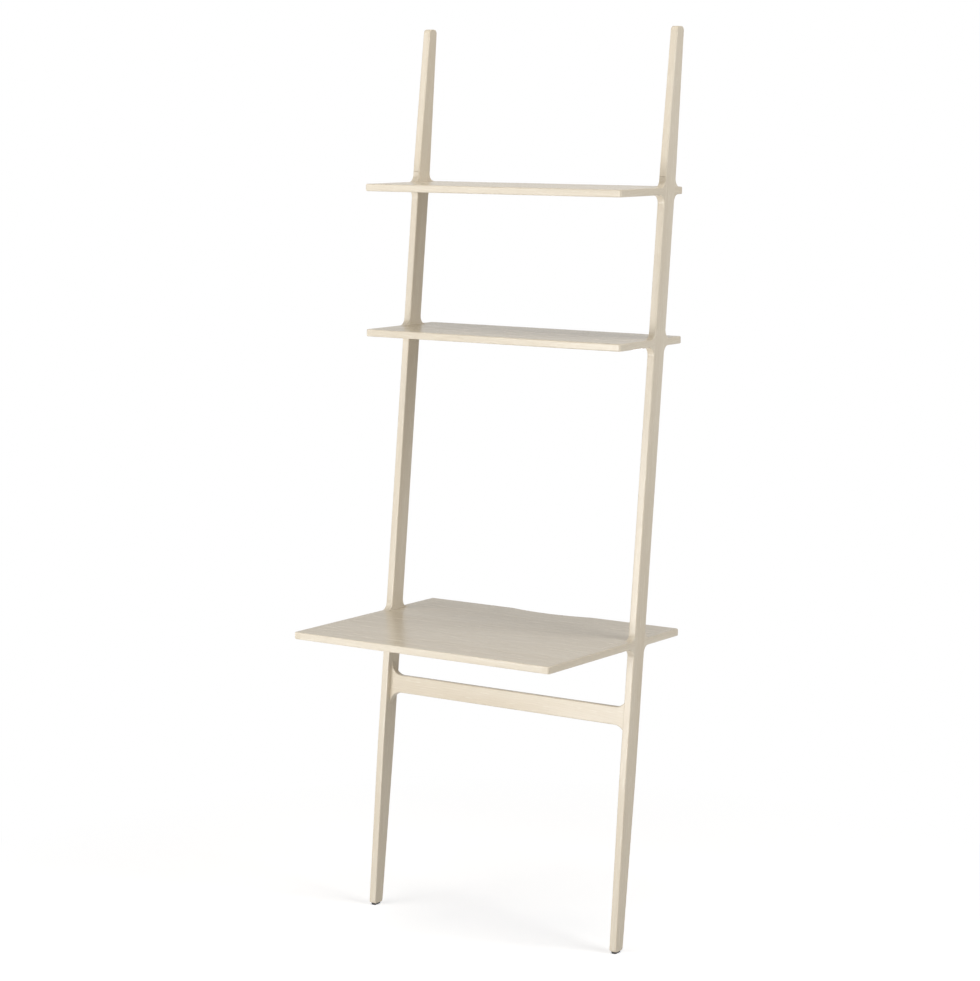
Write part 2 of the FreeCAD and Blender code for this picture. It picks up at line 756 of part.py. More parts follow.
os.makedirs("parts", exist_ok=True)
for feature in nodes:
    feature.Shape.exportStep(f"parts/{feature.Label}.step")
    print(f"{feature.Label}: {len(feature.Shape.Solids)} solid(s), "
          f"{feature.Shape.Volume / 1000:.1f} cm3")
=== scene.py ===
"""Ladder desk: the finished pieces of a leaning ash desk with two shelves, and its stage.

Metres throughout: +X is to the right, +Y towards the wall and +Z up.  Every finished piece
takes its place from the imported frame, which stays as it is.
"""

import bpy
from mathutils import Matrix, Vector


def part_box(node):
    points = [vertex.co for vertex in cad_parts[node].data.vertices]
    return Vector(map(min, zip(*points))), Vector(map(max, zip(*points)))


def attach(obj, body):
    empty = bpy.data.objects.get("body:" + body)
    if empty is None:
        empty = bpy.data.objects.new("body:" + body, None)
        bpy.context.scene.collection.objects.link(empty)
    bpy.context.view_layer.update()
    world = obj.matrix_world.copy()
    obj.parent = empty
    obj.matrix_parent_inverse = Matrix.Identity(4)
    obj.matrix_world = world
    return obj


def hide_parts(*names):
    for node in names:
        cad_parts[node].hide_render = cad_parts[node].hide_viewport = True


bl_info = {
    "name": "Ladder desk",
    "version": (1, 0, 0),
    "blender": (4, 5, 0),
    "location": "3D View > Sidebar > Ladder desk",
    "description": "Makes the finished pieces of a leaning ash desk, and a studio to show it in",
    "category": "Object",
}

import math
from collections import namedtuple
from itertools import product

import bmesh
import bpy
from bpy.props import FloatProperty, FloatVectorProperty, PointerProperty
from mathutils import Matrix, Vector

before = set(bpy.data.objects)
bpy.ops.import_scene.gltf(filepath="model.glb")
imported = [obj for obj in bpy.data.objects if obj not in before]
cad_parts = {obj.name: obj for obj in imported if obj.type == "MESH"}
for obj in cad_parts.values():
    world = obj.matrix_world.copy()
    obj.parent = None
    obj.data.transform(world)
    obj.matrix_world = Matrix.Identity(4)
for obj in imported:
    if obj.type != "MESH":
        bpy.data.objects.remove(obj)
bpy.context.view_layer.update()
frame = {"nodes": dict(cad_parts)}
BOX = {node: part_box(node) for node in frame["nodes"]}

BODY = "root"
SIDES = {"left": -1, "right": 1}
ENDS = {"front": -1, "back": 1}
BOARDS = {"desk": "desk_top", "lower_shelf": "lower_shelf", "upper_shelf": "upper_shelf"}

WALL_Y = BOX["left_upper_shelf_back_arm"][1].y
OVERALL_HEIGHT = BOX["left_upright"][1].z

X, Y, Z = 0, 1, 2
CLOSE = 1e-5                      # two places this near each other are the same place
ARC_STEP = math.radians(7.5)      # the most that one segment of an arc turns
KINK_STEPS = 4                    # segments of an arc that turns very little
RECESS_STEPS = 16                 # segments of the cable recess's long arc
CORNER_STEPS = 8                  # segments of an arm's rounded outer corner
EDGE_STEPS = 4                    # segments of an eased edge
HOLE_SIDES = 32                   # sides of a bored hole
SHARP = math.radians(30)          # faces that meet at more than this have an edge
SHANK_START = 0.15                # share of a screw head's height that its shank begins in
POINT_WIDTH = 0.08                # share of its width that a shank keeps at its tip
CROWN_POWER = 3.0                 # how late a screw head's crown falls towards its rim
SCREW_SEED = 5                    # settles how far each screw is turned
SCREW_FIT = 5e-5                  # how near the screws come to the frame's, at their sides
FLOOR_REACH = 30.0                # from the desk's middle to the floor's edge
WHITE = (1.0, 1.0, 1.0, 1.0)
FLOOR_PAINT = (0.9, 0.9, 0.9, 1.0)
RUBBED_NYLON = (0.3, 0.3, 0.3, 1.0)
ZINC_SHADE = 0.78                 # share of its colour that zinc keeps in its darker clouds

# How a pattern of the wood is drawn: features per metre along the grain and across it, and
# the stretch of the noise over which it comes in.
Pattern = namedtuple("Pattern", "along across detail low high")
STREAKS = Pattern(along=2.6, across=38.0, detail=2.0, low=0.25, high=0.75)
DRIFT = Pattern(along=0.9, across=7.0, detail=2.0, low=0.3, high=0.7)
FLECKS = Pattern(along=22.0, across=260.0, detail=2.0, low=0.60, high=0.74)
PORES = Pattern(along=60.0, across=1900.0, detail=1.0, low=0.60, high=0.72)
FIBRES = Pattern(along=14.0, across=420.0, detail=3.0, low=0.3, high=0.7)
RING_STRETCH = (0.04, 1.0, 0.55)  # growth rings along the grain and to its two sides
PORE_RINGS = (0.35, 0.8)          # stretch of a growth ring over which its pores open
FLECK_SHARE = 0.5                 # how much of their own colour the flecks show
PORE_SHARE = 0.45                 # and the pores
ROUGHNESS_SPREAD = 0.05           # how far the fibres vary the wood's roughness
GRAIN_SWAY = (0.0, 0.035, 0.035)  # how far the grain strays to its two sides
GRAIN_SWAY_SCALE = (1.1, 7.0, 7.0)
NOISE_MIDDLE = (0.5, 0.5, 0.5)    # where a noise of three parts swings about


# ---------------------------------------------------------------- sizes and colours

def length_property(name, default, description):
    """A size that a user can set, in metres."""
    return FloatProperty(name=name, default=default, unit="LENGTH", description=description)


def colour_property(name, default, description):
    """A colour that a user can set."""
    return FloatVectorProperty(name=name, default=default, size=3, subtype="COLOR",
                               description=description)


class LADDERDESK_PG_frame(bpy.types.PropertyGroup):
    """Outline of a side frame: one leaning upright and its six arms"""
    upright_depth: length_property(
        "Upright depth", 0.0465, "Level depth of an upright where it is widest")
    foot_depth: length_property(
        "Foot depth", 0.033, "Level depth of an upright at its foot")
    tip_depth: length_property(
        "Tip depth", 0.031, "Level depth of an upright at its top end")
    foot_setback: length_property(
        "Foot setback", 0.266, "Distance of the foot's centre line from the wall")
    lower_taper_height: length_property(
        "Lower taper height", 0.415, "Height below which the upright narrows towards its foot")
    lower_taper_blend: length_property(
        "Lower taper blend", 0.030, "How far the soft bend of the lower taper reaches each way")
    upper_taper_rise: length_property(
        "Upper taper rise", 0.045, "Height over the upper shelf above which the upright narrows")
    upper_taper_blend: length_property(
        "Upper taper blend", 0.018, "How far the soft bend of the upper taper reaches each way")
    tip_radius: length_property(
        "Tip radius", 0.010, "Radius of the two corners of an upright's top end")
    foot_radius: length_property(
        "Foot radius", 0.007, "Radius of the two corners of an upright's foot")
    arm_fillet: length_property(
        "Arm fillet", 0.020, "Radius of the flare where an arm leaves the upright")
    tip_corner: length_property(
        "Arm corner", 0.006, "Radius of an arm's outer corner, seen from above")
    edge_radius: length_property(
        "Edge radius", 0.003, "Radius of the eased edges")
    root_reach: length_property(
        "Root reach", 0.025, "How far an arm's root reaches above and below the board")
    housing_depth: length_property(
        "Housing depth", 0.003, "How deep an arm's root is let into the upright")
    tenon_thickness: length_property(
        "Tenon thickness", 0.008, "Thickness of an arm's tenon")
    tenon_shoulder: length_property(
        "Tenon shoulder", 0.010, "How far a tenon stays back from its root's upper and lower ends")
    tenon_gap: length_property(
        "Tenon gap", 0.0045, "Wood left between the tenons of a front arm and a back arm")


class LADDERDESK_PG_boards(bpy.types.PropertyGroup):
    """Desk top, shelves and stretcher"""
    recess_length: length_property(
        "Recess length", 0.240, "Length of the cable recess in the desk top's back edge")
    recess_depth: length_property(
        "Recess depth", 0.016, "Depth of the cable recess")
    recess_blend: length_property(
        "Recess blend", 0.060, "Radius of the recess's two soft ends")
    edge_radius: length_property(
        "Edge radius", 0.003, "Radius of the eased edges")
    stretcher_height: length_property(
        "Stretcher height", 0.045, "Height of the stretcher between its flared ends")
    stretcher_flare: length_property(
        "Stretcher flare", 0.032, "Radius of the flares at the stretcher's ends")
    stretcher_thickness: length_property(
        "Stretcher thickness", 0.018, "Thickness of the stretcher")
    stretcher_level: length_property(
        "Stretcher level", 0.5715, "Height of the stretcher's middle above the floor")
    flare_lip: length_property(
        "Flare lip", 0.0008, "Thickness left at the tip of a flare")


class LADDERDESK_PG_ash(bpy.types.PropertyGroup):
    """White-pigmented ash under a satin lacquer"""
    pale: colour_property(
        "Pale wood", (0.815, 0.755, 0.65), "Colour of the palest grain")
    deep: colour_property(
        "Deep wood", (0.695, 0.615, 0.49), "Colour of the deepest grain")
    fleck: colour_property(
        "Flecks", (0.87, 0.825, 0.735), "Colour of the short flecks")
    pore: colour_property(
        "Pores", (0.56, 0.47, 0.35), "Colour inside the open pores")
    roughness: FloatProperty(
        name="Roughness", default=0.24, min=0.0, max=1.0,
        description="Roughness of the lacquer")


class LADDERDESK_PG_beech(bpy.types.PropertyGroup):
    """Bare beech of the loose tongues"""
    pale: colour_property(
        "Pale wood", (0.60, 0.42, 0.27), "Colour of the palest grain")
    deep: colour_property(
        "Deep wood", (0.48, 0.31, 0.18), "Colour of the deepest grain")
    fleck: colour_property(
        "Flecks", (0.42, 0.26, 0.15), "Colour of the short flecks")
    pore: colour_property(
        "Pores", (0.36, 0.22, 0.13), "Colour inside the open pores")
    roughness: FloatProperty(
        name="Roughness", default=0.60, min=0.0, max=1.0,
        description="Roughness of the sanded wood")


class LADDERDESK_PG_fittings(bpy.types.PropertyGroup):
    """Foot glides, wall brackets and their screws"""
    nylon: colour_property(
        "Nylon", (0.028, 0.028, 0.030), "Colour of the foot glides")
    zinc: colour_property(
        "Zinc", (0.70, 0.71, 0.73), "Colour of the plated brackets and screws")
    clearance: length_property(
        "Clearance", 0.0001, "Gap round a tongue, a stem or a screw in its hole")
    stem_diameter: length_property(
        "Stem diameter", 0.008, "Diameter of a foot glide's stem")
    head_diameter: length_property(
        "Head diameter", 0.007, "Diameter of a screw's head")
    head_height: length_property(
        "Head height", 0.002, "Height of a screw's head")
    crown_fall: FloatProperty(
        name="Crown fall", default=0.55, min=0.0, max=1.0, subtype="FACTOR",
        description="Share of its height that a head loses from its middle to its rim")
    recess_span: length_property(
        "Recess span", 0.0044, "Length of each slot of the cross recess")
    recess_width: length_property(
        "Recess width", 0.0011, "Width of each slot of the cross recess")
    recess_depth: length_property(
        "Recess depth", 0.0012, "Depth of the cross recess")
    shank_diameter: length_property(
        "Shank diameter", 0.0035, "Diameter of a screw's shank")
    point_length: length_property(
        "Point length", 0.0045, "Length over which the shank narrows to its point")
    screw_spacing: length_property(
        "Screw spacing", 0.016, "Distance between the two screws of a bracket")


class LADDERDESK_PG_studio(bpy.types.PropertyGroup):
    """Floor, lamps and camera"""
    camera_place: FloatVectorProperty(
        name="Camera place", default=(3.9029, -5.5888, 2.0703), size=3, subtype="TRANSLATION",
        description="Where the camera stands")
    camera_yaw: FloatProperty(
        name="Camera yaw", default=0.60854, subtype="ANGLE",
        description="How far the camera is turned to the left of straight ahead")
    camera_pitch: FloatProperty(
        name="Camera pitch", default=0.14049, subtype="ANGLE",
        description="How far the camera looks down")
    focal_length: FloatProperty(
        name="Focal length", default=103.6, min=1.0,
        description="Focal length in millimetres, for a sensor 36 mm on its long side")
    world_strength: FloatProperty(
        name="World strength", default=0.10, min=0.0,
        description="Strength of the even light from all round")
    world_colour: colour_property(
        "World colour", (1.0, 0.85, 0.60), "Colour of the even light from all round")
    key_power: FloatProperty(
        name="Key lamp", default=150.0, min=0.0, subtype="POWER",
        description="Power of the low lamp in front")
    left_power: FloatProperty(
        name="Left lamp", default=41.0, min=0.0, subtype="POWER",
        description="Power of the high lamp on the left")
    right_power: FloatProperty(
        name="Right lamp", default=85.0, min=0.0, subtype="POWER",
        description="Power of the high lamp on the right")
    top_power: FloatProperty(
        name="Top lamp", default=54.0, min=0.0, subtype="POWER",
        description="Power of the lamp overhead")
    top_colour: colour_property(
        "Top lamp colour", (1.0, 0.94, 0.84), "Colour of the lamp overhead")
    reflected_white: FloatProperty(
        name="Reflected white", default=0.75, min=0.0, max=1.0, subtype="FACTOR",
        description="How much of the white background a reflection shows")
    floor_glow: colour_property(
        "Floor glow", (0.55, 0.565, 0.595),
        "What makes the lit floor near the desk white, but for its shadow")
    shadow_reach: FloatProperty(
        name="Shadow reach", default=1.6, min=0.1, unit="LENGTH",
        description="Distance from the desk past which the floor is plain white")


class LADDERDESK_PG_desk(bpy.types.PropertyGroup):
    """Everything that a user would set"""
    frame: PointerProperty(type=LADDERDESK_PG_frame)
    boards: PointerProperty(type=LADDERDESK_PG_boards)
    ash: PointerProperty(type=LADDERDESK_PG_ash)
    beech: PointerProperty(type=LADDERDESK_PG_beech)
    fittings: PointerProperty(type=LADDERDESK_PG_fittings)
    studio: PointerProperty(type=LADDERDESK_PG_studio)


# ---------------------------------------------------------------- outlines

# A corner of an outline, rounded by a radius or by how far its arc reaches each way.
Corner = namedtuple("Corner", "place radius reach", defaults=(0.0, 0.0))


def arc_points(centre, start, turn, steps):
    """Points of an arc about a centre, from its start through an angle."""
    spoke = start - centre
    return [centre + Matrix.Rotation(turn * step / steps, 2) @ spoke
            for step in range(steps + 1)]


def corner_points(before, corner, after):
    """The points that one corner of an outline becomes: an arc, or the corner itself."""
    if not corner.radius and not corner.reach:
        return [corner.place]
    arriving = (corner.place - before).normalized()
    leaving = (after - corner.place).normalized()
    turn = math.atan2(arriving.x * leaving.y - arriving.y * leaving.x, arriving.dot(leaving))
    tangent = abs(math.tan(turn / 2))
    reach = corner.reach or corner.radius * tangent
    start = corner.place - arriving * reach
    left = Vector((-arriving.y, arriving.x))
    centre = start + left * math.copysign(reach / tangent, turn)
    steps = max(KINK_STEPS, math.ceil(abs(turn) / ARC_STEP))
    return arc_points(centre, start, turn, steps)


def rounded_outline(corners):
    """A closed outline whose corners are rounded, as a list of points."""
    points = []
    for index, corner in enumerate(corners):
        before = corners[index - 1].place
        after = corners[(index + 1) % len(corners)].place
        for point in corner_points(before, corner, after):
            if not points or (point - points[-1]).length > CLOSE:
                points.append(point)
    return points


# ---------------------------------------------------------------- mesh helpers

def raised(point, axis, level):
    """A point of an outline, put on the plane at this level of an axis."""
    parts = list(point)
    parts.insert(axis, level)
    return Vector(parts)


def solid_from_outline(points, axis, low, high):
    """A closed solid whose section square to an axis is an outline."""
    solid = bmesh.new()
    rings = [[solid.verts.new(raised(point, axis, level)) for point in points]
             for level in (low, high)]
    for ring in rings:
        solid.faces.new(ring)
    for index in range(len(points)):
        quad = [rings[0][index - 1], rings[0][index], rings[1][index], rings[1][index - 1]]
        solid.faces.new(quad)
    bmesh.ops.recalc_face_normals(solid, faces=solid.faces)
    return solid


def on_plane(edge, axis, level):
    """True for an edge that lies in the plane at this level of an axis."""
    return all(abs(vert.co[axis] - level) < CLOSE for vert in edge.verts)


def between(edge, axis, low, high):
    """True for an edge that lies between two levels of an axis, or on one of them."""
    return all(low - CLOSE < vert.co[axis] < high + CLOSE for vert in edge.verts)


def is_sharp(edge):
    """True for an edge whose two faces meet at more than the angle of a smooth surface."""
    return len(edge.link_faces) == 2 and edge.calc_face_angle() > SHARP


def round_edges(solid, radius, steps, wanted):
    """Round the edges that a test picks."""
    edges = [edge for edge in solid.edges if wanted(edge)]
    if not edges:
        raise RuntimeError("no edge to round")
    bmesh.ops.bevel(solid, geom=edges, offset=radius, offset_type="OFFSET", segments=steps,
                    profile=0.5, affect="EDGES", clamp_overlap=False, loop_slide=True)


def trim(solid, place, direction):
    """Cut off what lies beyond a plane and close the cut."""
    cut = bmesh.ops.bisect_plane(solid, geom=solid.verts[:] + solid.edges[:] + solid.faces[:],
                                 dist=CLOSE, plane_co=place, plane_no=direction,
                                 clear_outer=True)
    edges = [item for item in cut["geom_cut"] if isinstance(item, bmesh.types.BMEdge)]
    bmesh.ops.contextual_create(solid, geom=edges)


def new_object(name, solid):
    """An object at the origin that holds a solid, which is freed."""
    mesh = bpy.data.meshes.new(name)
    solid.to_mesh(mesh)
    solid.free()
    piece = bpy.data.objects.new(name, mesh)
    bpy.context.scene.collection.objects.link(piece)
    return piece


def settle(piece):
    """Turn an object's modifiers into its mesh."""
    graph = bpy.context.evaluated_depsgraph_get()
    mesh = bpy.data.meshes.new_from_object(piece.evaluated_get(graph))
    piece.modifiers.clear()
    piece.data = mesh
    mesh.name = piece.name


def combine(piece, solid, operation):
    """Cut an object with a solid, or keep what they share."""
    tool = new_object("tool", solid)
    modifier = piece.modifiers.new("combine", "BOOLEAN")
    modifier.object = tool
    modifier.operation = operation
    modifier.solver = "EXACT"
    settle(piece)
    bpy.data.objects.remove(tool)


def tongue_mortises(clearance):
    """The space of all the loose tongues, with a gap all round."""
    solid = bmesh.new()
    solid.from_mesh(frame["nodes"]["loose_tongues"].data)
    bmesh.ops.remove_doubles(solid, verts=solid.verts, dist=CLOSE)
    bmesh.ops.recalc_face_normals(solid, faces=solid.faces)
    outward = [vert.normal * vert.calc_shell_factor() for vert in solid.verts]
    for vert, way in zip(solid.verts, outward):
        vert.co += way * clearance
    return solid


def bored_hole(centre, radius, bottom, top):
    """The space of an upright hole about a place."""
    solid = bmesh.new()
    place = Matrix.Translation((centre.x, centre.y, (bottom + top) / 2))
    bmesh.ops.create_cone(solid, cap_ends=True, segments=HOLE_SIDES, radius1=radius,
                          radius2=radius, depth=top - bottom, matrix=place)
    return solid


def smooth(piece):
    """Shade the rounds smooth and keep the flats flat."""
    piece.data.shade_smooth()
    piece.data.set_sharp_from_angle(angle=SHARP)
    modifier = piece.modifiers.new("flat faces lead", "WEIGHTED_NORMAL")
    modifier.keep_sharp = True
    settle(piece)


def dress(piece, node, material):
    """Make an object the shown form of one node of the frame."""
    piece.data.materials.clear()
    piece.data.materials.append(material)
    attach(piece, BODY)
    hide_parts(node)


def repaint(node, material):
    """Give a node of the frame, which keeps its own mesh, another finish."""
    piece = frame["nodes"][node]
    for holder in piece.material_slots:
        holder.material = material


# ---------------------------------------------------------------- materials

def add_node(tree, kind, inputs=None, **settings):
    """A node with its settings, whose inputs are numbers, colours or other nodes' outputs."""
    node = tree.nodes.new(kind)
    for name, value in settings.items():
        setattr(node, name, value)
    for name, value in (inputs or {}).items():
        if isinstance(value, bpy.types.NodeSocket):
            tree.links.new(value, node.inputs[name])
        else:
            node.inputs[name].default_value = value
    return node


def new_material(name):
    """An empty node material and its node tree."""
    material = bpy.data.materials.new(name)
    material.use_nodes = True
    material.node_tree.nodes.clear()
    return material, material.node_tree


def add_surface(tree, inputs):
    """A principled shader with these inputs, as the surface of the tree's material."""
    shader = add_node(tree, "ShaderNodeBsdfPrincipled", inputs)
    add_node(tree, "ShaderNodeOutputMaterial", {"Surface": shader.outputs[0]})


def object_place(tree):
    """Object coordinates, which stay with a piece wherever its body is."""
    return add_node(tree, "ShaderNodeTexCoord").outputs["Object"]


def math_node(tree, operation, first, second):
    """The result of an operation on two values."""
    return add_node(tree, "ShaderNodeMath", {0: first, 1: second},
                    operation=operation).outputs[0]


def times(tree, first, second):
    """The product of two values."""
    return math_node(tree, "MULTIPLY", first, second)


def length(tree, vector):
    """How long a vector is."""
    return add_node(tree, "ShaderNodeVectorMath", {0: vector},
                    operation="LENGTH").outputs["Value"]


def remap(tree, value, low, high, to_low=0.0, to_high=1.0):
    """A value's range moved to another range and held there."""
    return add_node(tree, "ShaderNodeMapRange", {
        "Value": value, "From Min": low, "From Max": high,
        "To Min": to_low, "To Max": to_high}).outputs["Result"]


def mixed_colour(tree, share, first, second):
    """Two colours mixed by a share.  The node's colour sockets are known by their numbers."""
    return add_node(tree, "ShaderNodeMix", {0: share, 6: first, 7: second},
                    data_type="RGBA").outputs[2]


def scaled(tree, place, factors):
    """A place whose three parts are each multiplied by a factor."""
    return add_node(tree, "ShaderNodeVectorMath", {0: place, 1: factors},
                    operation="MULTIPLY").outputs[0]


def stretched_noise(tree, place, along, across, detail=2.0):
    """Noise drawn out along the grain: features per metre along it and across it."""
    return add_node(tree, "ShaderNodeTexNoise", {
        "Vector": scaled(tree, place, (along, across, across)), "Scale": 1.0,
        "Detail": detail, "Roughness": 0.55}).outputs["Fac"]


def wood_pattern(tree, place, pattern):
    """One pattern of the wood, from 0 where it is absent to 1 where it is full."""
    noise = stretched_noise(tree, place, pattern.along, pattern.across, pattern.detail)
    return remap(tree, noise, pattern.low, pattern.high)


def weighed_sum(tree, terms):
    """The sum of values, each multiplied by its weight."""
    total = 0.0
    for value, weight in terms:
        total = add_node(tree, "ShaderNodeMath", {0: value, 1: weight, 2: total},
                         operation="MULTIPLY_ADD").outputs[0]
    return total


def along_the_grain(tree, grain, shift):
    """Object coordinates turned so that the first runs along the grain, swaying a little."""
    side = Vector((1, 0, 0)) if abs(grain.x) < 0.5 else Vector((0, 1, 0))
    rows = Matrix((grain, side, grain.cross(side)))
    turned = add_node(tree, "ShaderNodeMapping", {
        "Vector": object_place(tree), "Rotation": rows.to_euler(),
        "Location": shift}).outputs[0]
    sway = add_node(tree, "ShaderNodeTexNoise", {
        "Vector": scaled(tree, turned, GRAIN_SWAY_SCALE), "Scale": 1.0,
        "Detail": 2.0}).outputs["Color"]
    offset = add_node(tree, "ShaderNodeVectorMath", {0: sway, 1: NOISE_MIDDLE},
                      operation="SUBTRACT").outputs[0]
    return add_node(tree, "ShaderNodeVectorMath", {
        0: offset, 1: GRAIN_SWAY, 2: turned}, operation="MULTIPLY_ADD").outputs[0]


def wood_material(name, wood, grain, shift):
    """Wood, lacquered or bare: growth rings, streaks, flecks, open pores and fine fibre."""
    material, tree = new_material(name)
    place = along_the_grain(tree, grain, shift)

    rings = add_node(tree, "ShaderNodeTexWave", {
        "Vector": scaled(tree, place, RING_STRETCH), "Scale": 160.0, "Distortion": 3.0,
        "Detail": 2.0, "Detail Scale": 1.5}, wave_type="BANDS", bands_direction="DIAGONAL",
        wave_profile="SAW").outputs["Fac"]
    streaks = wood_pattern(tree, place, STREAKS)
    drift = wood_pattern(tree, place, DRIFT)
    flecks = wood_pattern(tree, place, FLECKS)
    fibres = stretched_noise(tree, place, FIBRES.along, FIBRES.across, FIBRES.detail)
    pores = times(tree, wood_pattern(tree, place, PORES), remap(tree, rings, *PORE_RINGS))

    depth = weighed_sum(tree, ((streaks, 0.45), (rings, 0.15), (drift, 0.40)))
    colour = mixed_colour(tree, depth, (*wood.pale, 1.0), (*wood.deep, 1.0))
    for marks, share, own in ((flecks, FLECK_SHARE, wood.fleck), (pores, PORE_SHARE, wood.pore)):
        colour = mixed_colour(tree, times(tree, marks, share), colour, (*own, 1.0))

    height = weighed_sum(tree, ((fibres, 0.4), (pores, -1.0)))
    bump = add_node(tree, "ShaderNodeBump", {
        "Height": height, "Strength": 0.25, "Distance": 0.0002}).outputs[0]
    roughness = remap(tree, fibres, FIBRES.low, FIBRES.high,
                      to_low=wood.roughness - ROUGHNESS_SPREAD,
                      to_high=wood.roughness + ROUGHNESS_SPREAD)
    add_surface(tree, {"Base Color": colour, "Normal": bump, "Roughness": roughness})
    return material


def nylon_material(name, colour):
    """Moulded nylon with a fine spark-eroded texture, its peaks rubbed a little paler."""
    material, tree = new_material(name)
    speckle = add_node(tree, "ShaderNodeTexNoise", {
        "Vector": object_place(tree), "Scale": 2500.0, "Detail": 2.0}).outputs["Fac"]
    peaks = remap(tree, speckle, 0.45, 0.75, to_high=0.12)
    bump = add_node(tree, "ShaderNodeBump", {
        "Height": speckle, "Strength": 0.3, "Distance": 0.0001}).outputs[0]
    add_surface(tree, {
        "Base Color": mixed_colour(tree, peaks, (*colour, 1.0), RUBBED_NYLON), "Normal": bump,
        "Roughness": remap(tree, speckle, 0.3, 0.7, to_low=0.44, to_high=0.56)})
    return material


def zinc_material(name, colour):
    """Zinc-plated steel: a fine rolled grain under cloudy plating."""
    material, tree = new_material(name)
    place = object_place(tree)
    rolled = stretched_noise(tree, place, along=60.0, across=2400.0)
    cloud = stretched_noise(tree, place, along=180.0, across=180.0)
    shade = weighed_sum(tree, ((rolled, 0.5), (cloud, 0.5)))
    darker = [part * ZINC_SHADE for part in colour]
    add_surface(tree, {
        "Base Color": mixed_colour(tree, remap(tree, shade, 0.35, 0.65), (*darker, 1.0),
                                   (*colour, 1.0)),
        "Metallic": 1.0,
        "Roughness": remap(tree, shade, 0.3, 0.7, to_low=0.42, to_high=0.28)})
    return material


# ---------------------------------------------------------------- side frames

def upright_axis(sizes, height):
    """Y of an upright's centre line at a height."""
    foot = WALL_Y - sizes.foot_setback
    tip = WALL_Y - sizes.tip_depth / 2
    return foot + (tip - foot) * height / OVERALL_HEIGHT


def lean_direction(sizes):
    """The way that the uprights point, as a unit vector."""
    run = upright_axis(sizes, OVERALL_HEIGHT) - upright_axis(sizes, 0)
    return Vector((0, run, OVERALL_HEIGHT)).normalized()


def face_corners(sizes, end):
    """Corners of a side frame's front or back outline, from the foot up to the tip."""
    low, high = BOX["left_upright"]
    half = sizes.upright_depth / 2
    upper_taper = BOX[BOARDS["upper_shelf"]][1].z + sizes.upper_taper_rise

    def station(height, depth, radius=0.0, reach=0.0):
        """A corner on the upright's face, this far from its centre line."""
        place = Vector((upright_axis(sizes, height) + end * depth, height))
        return Corner(place, radius, reach)

    corners = [station(low.z, sizes.foot_depth / 2, sizes.foot_radius),
               station(sizes.lower_taper_height, half, reach=sizes.lower_taper_blend)]
    for board in BOARDS.values():
        near, far = BOX[board]
        tip = near.y if end < 0 else far.y
        corners += [station(near.z, half, sizes.arm_fillet),
                    Corner(Vector((tip, near.z))), Corner(Vector((tip, far.z))),
                    station(far.z, half, sizes.arm_fillet)]
    corners += [station(upper_taper, half, reach=sizes.upper_taper_blend),
                station(high.z, sizes.tip_depth / 2, sizes.tip_radius)]
    return corners


def in_a_board(edge, margin=0.0):
    """True for an edge at the level of one of the boards, or no further off than a margin."""
    return any(between(edge, Z, BOX[board][0].z - margin, BOX[board][1].z + margin)
               for board in BOARDS.values())


def whole_side_frame(sizes, side):
    """An upright and its arms in one piece, with every edge eased but those at the boards."""
    low, high = BOX[f"{side}_upright"]
    outer, inner = (low.x, high.x) if SIDES[side] < 0 else (high.x, low.x)
    front, back = face_corners(sizes, -1), face_corners(sizes, 1)
    solid = solid_from_outline(rounded_outline(front + back[::-1]), X, low.x, high.x)

    def is_arm_corner(edge):
        """True for the standing edge at the outer corner of an arm."""
        tall = abs(edge.verts[0].co.z - edge.verts[1].co.z) > CLOSE
        return tall and on_plane(edge, X, outer) and in_a_board(edge) and any(
            on_plane(edge, Y, place) for board in BOARDS.values()
            for place in (BOX[board][0].y, BOX[board][1].y))

    round_edges(solid, sizes.tip_corner, CORNER_STEPS, is_arm_corner)
    round_edges(solid, sizes.edge_radius, EDGE_STEPS, lambda edge: is_sharp(edge) and not (
        on_plane(edge, X, inner) and in_a_board(edge, sizes.edge_radius)))
    return solid


def arm_space(sizes, side, board, end):
    """The space that one arm takes: all that lies beyond its joint with the upright."""
    low, high = BOX[f"{side}_upright"]
    near, far = BOX[board]
    bottom, top = near.z - sizes.root_reach, far.z + sizes.root_reach
    face = end * (sizes.upright_depth / 2 - sizes.housing_depth)
    beyond = end * 2 * WALL_Y           # past the arm's tip
    thickness = high.x - low.x
    points = [Vector((beyond, bottom)), Vector((upright_axis(sizes, bottom) + face, bottom)),
              Vector((upright_axis(sizes, top) + face, top)), Vector((beyond, top))]
    return solid_from_outline(points, X, low.x - thickness, high.x + thickness)


def tenon(sizes, side, board, end):
    """An arm's tenon, from inside its root to short of the other arm's."""
    low, high = BOX[f"{side}_upright"]
    near, far = BOX[board]
    rise = sizes.root_reach - sizes.tenon_shoulder
    start = end * (sizes.upright_depth - sizes.housing_depth) / 2
    stop = end * sizes.tenon_gap / 2
    points = [Vector((upright_axis(sizes, level) + depth, level))
              for level, depth in ((near.z - rise, start), (near.z - rise, stop),
                                   (far.z + rise, stop), (far.z + rise, start))]
    middle, half = (low.x + high.x) / 2, sizes.tenon_thickness / 2
    return solid_from_outline(points, X, middle - half, middle + half)


